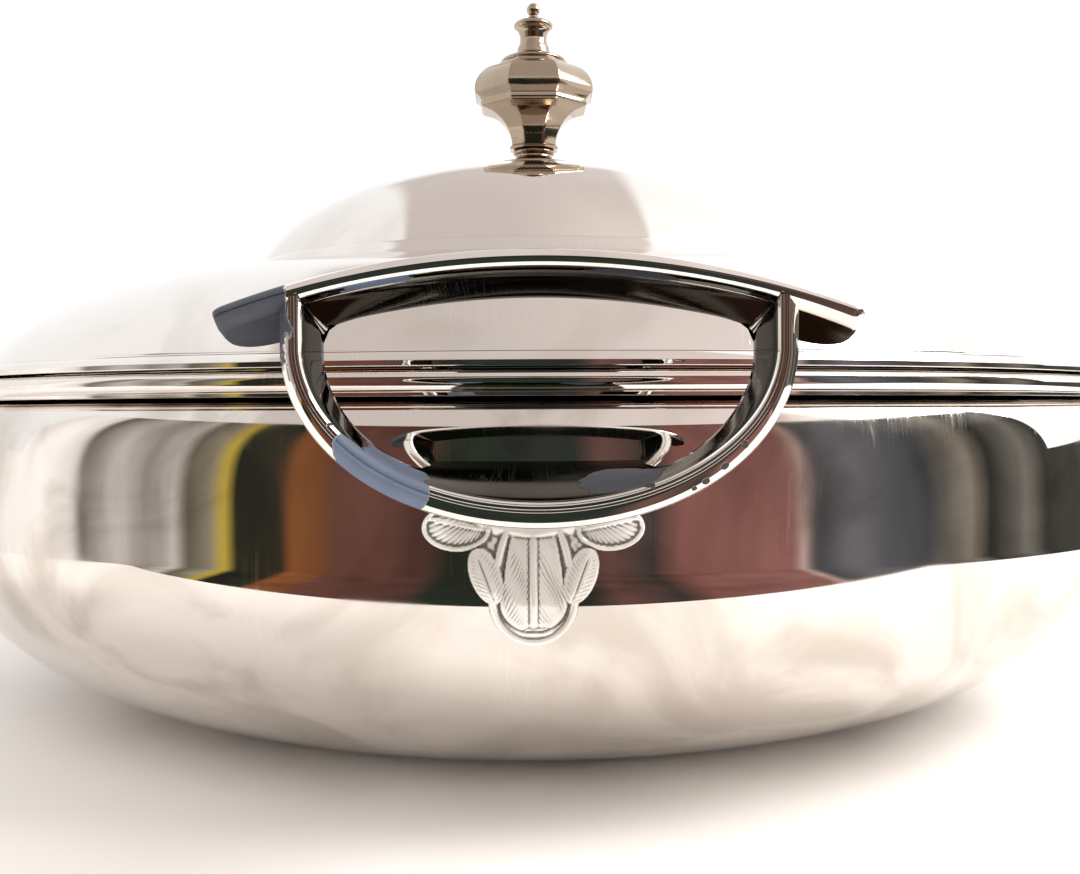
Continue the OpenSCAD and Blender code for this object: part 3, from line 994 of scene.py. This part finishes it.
def bar_depths(x):
    """Where the bar starts and ends in depth at x, with its rounded corners."""
    near, far = 0.0, strap_w
    over = abs(x) - (wing_x - wing_front)
    if over > 0:
        near = wing_front - math.sqrt(max(0, wing_front ** 2 - over ** 2))
    over = abs(x) - (wing_x - wing_back)
    if over > 0:
        far = strap_w - wing_back + math.sqrt(max(0, wing_back ** 2 - over ** 2))
    return near, far


def bar_ring(x):
    """The bar's section at x, squeezed and drooped where the wing ends."""
    middle_r = arch_r - bar_t / 2
    turn = math.asin(x / middle_r)
    near, far = bar_depths(x)
    squeeze = min(1.0, (far - near) / squeezed_under)
    fall = 1.0
    over = (abs(x) - (wing_x - wing_tip)) / wing_tip
    if over > 0:
        fall = 0.72 + 0.28 * math.sqrt(max(0, 1 - over ** 2))
    droop = wing_droop * max(0, (abs(x) - droop_from) / droop_over) ** 1.5
    ring = []
    for depth, height in bar_section():
        if depth < BAR_FRONT:
            place = near + depth * squeeze
        else:
            share = (depth - BAR_FRONT) / (strap_w - BAR_FRONT)
            start = near + BAR_FRONT * squeeze
            back = max(start + 0.02, far)
            place = start + (back - start) * share
        radius = middle_r + height * fall * bar_t / section_t
        z = bar_z + (radius * math.cos(turn) - arch_r) / math.cos(tilt) - place * math.tan(tilt + droop)
        ring.append(at_handle(radius * math.sin(turn), place, z))
    return ring


def bar_stations():
    """Places along the bar, crowded towards its tips."""
    inner = [i * even_step for i in range(-40, 41)]
    tips = []
    last = wing_x - even_half
    for i in range(1, tip_stations + 1):
        tips.append(even_half + last * math.sin(math.pi / 2 * i / tip_stations) - 0.005)
    return [-t for t in tips[::-1]] + inner + tips


bar = lofted("front_thumb_bar", [bar_ring(x) for x in bar_stations()], handle_silver, 50,
             UNDER_BAR, painted_shade_silver)
stands_for(bar, "bowl", "cast_silver", "front_handle_bar")
other_handle(bar, "back_thumb_bar", "bowl", "cast_silver", "back_handle_bar")

# %% [markdown]
# ## Loop
# The loop is a flat strap bent to a U: two straight posts and half an ellipse. At the bottom it widens
# into the tongue that carries the weight to the bowl. A curve with a bevel would make a plain strap in
# one step, but it keeps one section all the way and can't grow a tongue. So the loop is lofted as
# well, and its inner line comes first, because everything else is measured from it.

# %% Loop's inner line
loop_x = 26.2
strap_t = loop_box[1][0] / MM - loop_x
loop_b = 17.5
loop_z = loop_box[0][2] / MM + strap_t
loop_cz = loop_z + loop_b


def inner_line(x):
    """Height of the loop's inner line at x, and the way out of the loop there."""
    across = min(0.999, abs(x) / loop_x)
    drop = math.sqrt(1 - across * across)
    way = Vector((x / loop_x ** 2, -drop / loop_b)).normalized()
    return loop_cz - loop_b * drop, way.x, way.y


print("loop inner width:", 2 * loop_x, "lowest inside:", round(loop_z, 2))

# %% [markdown]
# ## Tongue of the loop
# At the bottom the strap runs on backwards, narrows round two quarter circles to a tongue, and climbs
# a little on its way to the bowl. A tongue of its own, joined on with a boolean, would leave a seam.
# Here every line of the strap is told where it ends: at the strap's straight back edge, round the
# corner, on the side of the tongue, or on the bowl's skin.

# %% Tongue
foot_rise = 3.4
foot_reach = 36
tongue_x = 14.0
tongue_round = 5.0
turn_x = tongue_x + tongue_round
turn_d = strap_w + tongue_round
inner_x = tongue_x - 0.5


def side_lift(z, depth):
    """How far the strap rises towards the bowl: most at the bottom, nothing at the posts."""
    near = 1 - (z - loop_z) / foot_rise
    ease = 0.3
    if near < -ease:
        near = 0
    elif near < ease:
        near = (near + ease) ** 2 / (4 * ease)
    return foot_rise * depth / foot_reach * near


def bowl_depth(x, z, sunk=0.3):
    """Depth at which the handle's frame meets the bowl, a little inside its skin."""
    radius = side_radius(min(z, neck_z)) - sunk
    return handle_y - math.sqrt(radius * radius - x * x)


def back_place(x, thick):
    """Where the strap's line that starts at x in front ends, at that thickness: x, depth, and
    whether it ends on the bowl."""
    side = 1 if x > 0 else -1
    ahead = abs(x)
    if ahead >= turn_x:
        return x, strap_w, False
    if ahead > inner_x:
        travel = (turn_x - ahead) / (turn_x - inner_x)
        corner = math.pi / 2 * tongue_round
        z = inner_line(tongue_x)[0]
        straight = bowl_depth(tongue_x, z + 1.0) - turn_d
        along = travel * (corner + straight)
        if along < corner:
            turn = along / tongue_round
            across = turn_x - tongue_round * math.sin(turn)
            return side * across, turn_d - tongue_round * math.cos(turn), False
        return side * tongue_x, turn_d + along - corner, False
    end_x = x * tongue_x / inner_x
    z, _, out = inner_line(end_x)
    z += out * thick + side_lift(z, foot_reach)
    return end_x, bowl_depth(end_x, z), True


print("tongue reaches back, in mm:", round(back_place(0.0, 0)[1], 1))

# %% [markdown]
# ## Edges of the strap
# The front edge is moulded: a broad bead outside, a fine one inside and a hollow between, each a short
# arc. The back edge is plain, with soft corners. Cutting the hollow with a boolean would work, but
# drawn arcs keep its walls smooth. The inner faces take the dark finish, which paints shade there.

# %% Strap edges
FRONT_EDGE = [(2.6, 0.0), (1.6, 0.04), (0.9, 0.20), (0.62, 0.30)]
FRONT_EDGE += [(d, n) for n, d in arc(0.62, 0.50, 0.30, 0.34, 190, 340, 10)]
FRONT_EDGE += [(0.42, 0.99)]
FRONT_EDGE += [(d, n) for n, d in arc(1.28, 0.62, 0.27, 0.27, 200, 300, 8)]
FRONT_EDGE += [(d, n) for n, d in arc(-1.02, 4.35, 4.4, 4.4, 304, 326, 14)]
FRONT_EDGE += [(d, n) for n, d in arc(2.48, 2.02, 0.22, 0.22, 326, 360, 5)]
FRONT_EDGE += [(2.6, 2.69), (3.4, 2.62)]
# Inner faces of the strap, which the dark finish paints as shaded.
SHADED_LOOP = [0, 1] + list(range(len(FRONT_EDGE) + 9, len(FRONT_EDGE) + 15))
BACK_EDGE = [(0.10, 0, 2.56), (0.3, 0, 2.52), (0.5, 0, 2.5), (0.75, 0, 2.5), (1, 0.8, 2.46),
             (1, 0.3, 2.28), (1, 0.04, 1.9), (1, 0, 1.3), (1, 0.04, 0.7), (1, 0.3, 0.2), (1, 0.8, 0.02),
             (0.75, 0, 0), (0.5, 0, 0), (0.3, 0, 0), (0.10, 0, 0)]
print("points round the strap:", len(FRONT_EDGE) + len(BACK_EDGE))

# %% [markdown]
# ## Building the loop
# Stations run from the right post down round the bottom to the left post, and crowd together where the
# strap turns into the tongue. Each one sets the front edge square to the inner line, then spaces the
# back edge out along its own line to the place where that line ends.

# %% Loop
LOOP_FRONT = 4.2
turn_step = 0.12
tongue_step = 0.7
LEG_TOP = bar_z - arch_r + math.sqrt(arch_r ** 2 - (loop_x + 1.5) ** 2) - 0.7 * bar_t


def strap_point(x, z, out_x, out_z, depth, thick):
    """Point of the strap at a depth, that thickness out from the inner line."""
    lift = side_lift(z, depth)
    if z > loop_cz:
        lift -= depth * math.tan(tilt) * (z - loop_cz) / (LEG_TOP - loop_cz)
    return at_handle(x + out_x * thick, depth, z + out_z * thick + lift)


def strap_ring(x, z, out_x, out_z):
    """The strap's edges at one station. The outer bead is broadest at the bottom of the loop."""
    ring = []
    low = max(0, -out_z) ** 2
    for depth, thick in FRONT_EDGE:
        spread = 0.2 * low * (thick - 1.5) if thick > 0.1 else 0
        flat = 1 - 0.35 * low if thick > 1 else 1
        ahead = 0.12 * (1 - low * 0.6) * (thick > 1)
        ring.append(strap_point(x, z, out_x, out_z, depth * flat - ahead, thick + spread))
    for share, inset, thick in BACK_EDGE:
        end_x, end, on_bowl = back_place(x, thick) if z < loop_cz - 1 else (x, strap_w, False)
        whole = math.hypot(end_x - x, end - LOOP_FRONT)
        gone_by = share * whole - (0 if on_bowl else inset)
        here = x + (end_x - x) * gone_by / whole
        depth = LOOP_FRONT + (end - LOOP_FRONT) * gone_by / whole
        if abs(here - x) < 1e-9:
            ring.append(strap_point(x, z, out_x, out_z, depth, thick))
        else:
            ring.append(strap_point(here, *inner_line(here), depth, thick))
    return ring


def strap_stations():
    """Stations along the inner line, from the right post down round to the left post."""
    leg = [(loop_x, LEG_TOP - (LEG_TOP - loop_cz) * i / 8, 1.0, 0.0) for i in range(8)]
    bend = []
    places = [loop_x * math.cos(math.pi / 2 * i / 60) for i in range(61)]
    places = [x for x in places if x > turn_x] + [turn_x - turn_step * i for i in range(0, 47)]
    places += [inner_x - tongue_step * i for i in range(1, 20)]
    for x in [p for p in places if p > 0.3] + [0.0]:
        bend.append((x, *inner_line(x)))
    half = leg + bend
    return half + [(-x, z, -out_x, out_z) for x, z, out_x, out_z in half[-2::-1]]


loop = lofted("front_loop", [strap_ring(*s) for s in strap_stations()], handle_silver, 50,
              SHADED_LOOP, painted_shade_silver)
stands_for(loop, "bowl", "cast_silver", "front_handle_loop")
other_handle(loop, "back_loop", "bowl", "cast_silver", "back_handle_loop")

# %% [markdown]
# ## Corner webs
# Where the posts meet the bar the caster leaves a small web, so that the metal flows and the corner is
# strong. It is narrow at the front and widens towards the back, with a hollow face. A bevel where
# two meshes cross needs a clean join first. A small loft that is let into both is lighter and can't
# fail.

# %% Corner webs
web_rings = 14
web_let_in = 0.25
web_start = 1.6
web_run = strap_w - 1.9
web_small = 0.9
web_grows = 1.7


def corner_web(side):
    """Fillet in the inner corner of the bar and a post, from front to back."""
    rings = []
    for i in range(web_rings + 1):
        depth = web_start + web_run * i / web_rings
        reach = web_small + web_grows * i / web_rings
        x = loop_x + web_let_in
        turn = math.asin(x / arch_r)
        under = bar_z + ((arch_r - bar_t) * math.cos(turn) - arch_r) / math.cos(tilt)
        under -= depth * math.tan(tilt) - web_let_in
        slope = math.tan(turn)
        ring = [(x + 0.6, under + 0.5), (x + 0.6, under - reach * 1.1)]
        ring += [(x, under - reach)]
        for k in range(1, 8):
            turn_k = math.pi / 2 * k / 8
            back = 1 - math.cos(turn_k)
            up = under - reach * (1 - math.sin(turn_k)) + reach * slope * back
            ring.append((x - reach * back, up))
        ring += [(x - reach, under + reach * slope), (x - reach, under + reach * slope + 0.5)]
        rings.append([at_handle(side * px, depth, pz) for px, pz in ring])
    return rings


for side, word in ((1, "right"), (-1, "left")):
    web = lofted("front_web_" + word, corner_web(side), handle_silver, 50)
    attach(web, "bowl")
    back_web = other_side(web, "back_web_" + word)
    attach(back_web, "bowl")

# %% [markdown]
# ## Leaf mounts
# Under each loop a cast and chased mount hides the joint: a middle leaf in a smooth raised border, a
# small leaf at each side and a wider one above them. It could be sculpted by hand, but that can't be
# repeated from a script. So it is made as a relief, a height above the bowl's skin for every point.
# Three helpers do most of it: a soft step, the distance inside a leaning oval, and a row of veins.

# %% Relief helpers
def eased(value, low, high):
    """0 below low, 1 above high, smooth between."""
    t = min(1.0, max(0.0, (value - low) / (high - low)))
    return t * t * (3 - 2 * t)


def inside_oval(x, z, cx, cz, a, b, lean=0.0):
    """(distance inside the edge in mm, place across, place along) for a leaning oval."""
    dx, dz = x - cx, z - cz
    across = dx * math.cos(lean) - dz * math.sin(lean)
    along = dx * math.sin(lean) + dz * math.cos(lean)
    level = math.hypot(across / a, along / b)
    if level < TINY:
        return min(a, b), across, along
    steep = math.hypot(across / a ** 2, along / b ** 2) / level
    return (1 - level) / steep, across, along


def vein(place, period, depth):
    """Depth of a row of grooves, one in every period."""
    return depth * (0.5 + 0.5 * math.cos(2 * math.pi * place / period)) ** 2


print("soft step halfway up:", eased(0.5, 0, 1))

# %% [markdown]
# ## The leaves
# Each leaf is a lobe with a raised edge, a rib and veins, worked out from how far inside its edge a
# point is. u is the place across from the mount's middle line and z is the height, both in
# millimetres. A low, dimpled ground ties the leaves together and a web runs up under the tongue. The
# highest of them wins at every point, so they overlap as chased leaves do.

# %% Leaves
LEAF_SUNK = -0.5
leaf_z = 36.4


def middle_leaf(u, z):
    """The tongue-shaped leaf in its smooth border, round below leaf_z and nearly straight above."""
    if z > leaf_z:
        spread = 6.3 - 0.02 * (z - leaf_z) ** 2
        edge = spread - abs(u)
    else:
        edge = inside_oval(u, z, 0, leaf_z, 6.4, 6.6)[0]
    border = LEAF_SUNK + 1.25 * eased(edge, -0.25, 0.55) - 0.35 * eased(edge, 0.85, 1.45)
    if z > leaf_z:
        leaf_edge = 4.9 - 0.17 * (z - leaf_z) - abs(u)
    else:
        leaf_edge = inside_oval(u, z, 0, leaf_z, 4.9, 4.5)[0]
    if leaf_edge < 0:
        return border
    leaf = 0.18 + 0.55 * eased(leaf_edge, 0.0, 0.5) + 0.28 * eased(leaf_edge, 0.6, 4.5)
    slant = z + 1.9 * abs(u) + 0.25 * math.sin(1.3 * z) + 0.2 * math.sin(2.1 * u)
    strong = 0.08 + 0.04 * math.sin(0.9 * z + 1.7 * u)
    leaf -= vein(slant, 0.98, strong) * eased(abs(u), 0.4, 0.9) * eased(leaf_edge, 0.1, 0.5)
    leaf += 0.16 * (1 - eased(abs(u), 0.2, 0.55)) - 0.10 * (1 - eased(abs(abs(u) - 0.65), 0.0, 0.2))
    hollow = (1 - eased(z, 32.2, 33.3)) * (1 - eased(abs(u - 0.4), 1.0, 2.2))
    return (leaf - 0.75 * hollow) * (1 - eased(z, 43.0, 47.5)) + 0.3 * eased(z, 43.0, 47.5)


def side_leaf(u, z):
    """The small leaf that leans against each side of the middle one."""
    edge, across, along = inside_oval(abs(u), z, 6.5, 40.0, 2.35, 4.3, 0.36)
    leaf = LEAF_SUNK + 1.30 * eased(edge, -0.25, 0.4) + 0.22 * eased(edge, 0.4, 2.0)
    if edge > 0.2:
        leaf -= 0.15 * (1 - eased(abs(across - 0.1), 0.03, 0.22)) * eased(3.4 - along, 0, 1.2)
        leaf -= vein(along - 0.8 * abs(across), 0.62, 0.09) * eased(abs(across), 0.2, 0.5)
    return leaf


def outer_leaf(u, z):
    """The wide leaf above it, veined like a fan."""
    edge, across, along = inside_oval(abs(u), z, 10.6, 46.6, 4.9, 3.3)
    leaf = LEAF_SUNK + 1.30 * eased(edge, -0.25, 0.35) - 0.45 * eased(edge, 0.45, 0.85)
    if edge > 0.5:
        fan = math.atan2(along - 3.5, across + 5.5)
        leaf += 0.16 * eased(edge, 0.9, 2.4)
        leaf -= vein(fan * 7.5, 0.55, 0.12) * eased(edge, 0.55, 1.0)
        leaf += 0.25 * (1 - eased(abs(along - 0.6 - 0.18 * across), 0.1, 0.45))
    return leaf


def neck_web(u, z):
    """Plain metal that rises to the loop's tongue."""
    low = 42.6 + 0.22 * abs(u)
    rise = eased(z, low, low + 3.5)
    return LEAF_SUNK + 1.35 * rise * eased(12 - abs(u), -0.3, 5.0)


def ground(u, z):
    """Low, dimpled background that ties the leaves together."""
    edge = inside_oval(u, z, 0, 45.2, 9.4, 5.0)[0]
    dimple = 0.06 * math.sin(5.1 * u) * math.sin(4.3 * z)
    return LEAF_SUNK + (0.72 + dimple) * eased(edge, -0.2, 0.6)


def relief(x, z):
    """Height of the mount above the bowl's skin, in millimetres."""
    u = x + 0.75
    return max(middle_leaf(u, z), side_leaf(u, z), outer_leaf(u, z), neck_web(u, z), ground(u, z))


print("relief at the middle of the leaf, in mm:", round(relief(0, leaf_z), 2))

# %% [markdown]
# ## Laying the relief on the bowl
# The relief is sampled on a fine grid, and only the cells that stand above the skin are kept. Front,
# back and walls close it into a solid that is let into the bowl a little. A displace modifier on a
# flat grid would leave that grid's square edge, and this way the edge follows the leaves. A second
# number at each point says how hollow the relief is there, and the finish darkens it.

# %% Leaf mounts
def skin_point(x, z, height):
    """Point at a height above the bowl's front skin."""
    radius = side_radius(z)
    slope = (side_radius(z + 0.05) - side_radius(z - 0.05)) / 0.1
    y = -math.sqrt(radius * radius - x * x)
    normal = Vector((x, y, -slope * radius)).normalized()
    return (Vector((x, y, z)) + normal * height) * MM


mount_x = 16.6
mount_z = 29.2
mount_h = 24.2


def relief_mesh(name, step=0.15, deep=-0.55):
    """Closed mesh of the relief, with how hollow it is at each point of its front."""
    xs = [-mount_x + step * i for i in range(int(2 * mount_x / step) + 1)]
    zs = [mount_z + step * k for k in range(int(mount_h / step) + 1)]
    heights = [[relief(x, z) for z in zs] for x in xs]
    points = []
    faces = []
    front = {}
    back = {}

    def corner(i, k, table, deeper):
        if (i, k) not in table:
            table[i, k] = len(points)
            height = deep if deeper else max(heights[i][k], LEAF_SUNK)
            points.append(skin_point(xs[i], zs[k], height))
        return table[i, k]

    kept = set()
    for i in range(len(xs) - 1):
        for k in range(len(zs) - 1):
            if max(heights[i + a][k + b] for a in (0, 1) for b in (0, 1)) > -0.35:
                kept.add((i, k))
    for i, k in sorted(kept):
        cell = [(i, k), (i + 1, k), (i + 1, k + 1), (i, k + 1)]
        faces.append(tuple(corner(a, b, front, False) for a, b in cell))
        faces.append(tuple(corner(a, b, back, True) for a, b in reversed(cell)))
        beside = [(i, k - 1), (i + 1, k), (i, k + 1), (i - 1, k)]
        for one, beyond in enumerate(beside):
            two = (one + 1) % 4
            if beyond not in kept:
                faces.append((corner(*cell[two], front, False), corner(*cell[one], front, False),
                              corner(*cell[one], back, True), corner(*cell[two], back, True)))
    mesh = bpy.data.meshes.new(name)
    mesh.from_pydata(points, [], faces)
    mesh.update()
    even_winding(mesh)
    hollow = mesh.attributes.new("hollow", "FLOAT", "POINT")
    reach = 3
    for (i, k), number in front.items():
        around = [heights[min(max(i + a, 0), len(xs) - 1)][min(max(k + b, 0), len(zs) - 1)]
                  for a in (-reach, 0, reach) for b in (-reach, 0, reach)]
        sunk = sum(max(h, -0.1) for h in around) / 9 - heights[i][k]
        hollow.data[number].value = 0.9 * eased(sunk, 0.01, 0.10)
    print(name, "faces:", len(mesh.polygons))
    return mesh


leaf = placed("front_leaf", finish_mesh(relief_mesh("front_leaf"), 75), frosted_silver)
stands_for(leaf, "bowl", "cast_silver", "front_handle_leaf")
other_handle(leaf, "back_leaf", "bowl", "cast_silver", "back_handle_leaf")

# %% [markdown]
# ## Hidden fittings
# The ring inside the lid's edge and the stud, washer and nut that hold the finial keep their CAD
# shape, which is right as it is. They could be made again here, but nobody sees more than their
# finish. That gets the same care: the ring is plated and hazy, as no cloth reaches it, and the
# fittings are plain brass with a brown film.

# %% Fittings
BRASS = (0.66, 0.47, 0.20)
BROWN_FILM = (0.30, 0.19, 0.08)
BRASS_SCRATCH = (0.85, 0.68, 0.36)


def brass():
    """Turned brass under a patchy brown film, with bright scratches."""
    material, tree, surface = plain("brass")
    where = add(tree, "TexCoord").outputs["Object"]
    film = faded(tree, noise(tree, where, 300, 5, 0.8), 0.4, 0.7)
    marks = streaks(tree, where, SCRATCH_WAYS[:2], 1500)
    colour = mixed(tree, film, BRASS, BROWN_FILM)
    colour = mixed(tree, calc(tree, "MULTIPLY", marks, 0.5), colour, BRASS_SCRATCH)
    tree.links.new(colour, surface.inputs["Base Color"])
    tree.links.new(faded(tree, film, 0, 1, 0.25, 0.5), surface.inputs["Roughness"])
    bump = add(tree, "Bump", {"Height": calc(tree, "MULTIPLY", film, 0.02 * MM), "Distance": 1.0})
    tree.links.new(bump.outputs[0], surface.inputs["Normal"])
    surface.inputs["Metallic"].default_value = 1.0
    return material


fitting_brass = brass()
for name, material in (("lid_bezel", inner_silver), ("finial_stud", fitting_brass),
                       ("finial_washer", fitting_brass), ("finial_nut", fitting_brass)):
    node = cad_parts[name]
    node.data.materials.clear()
    node.data.materials.append(material)
    print(name, "finish:", material.name)
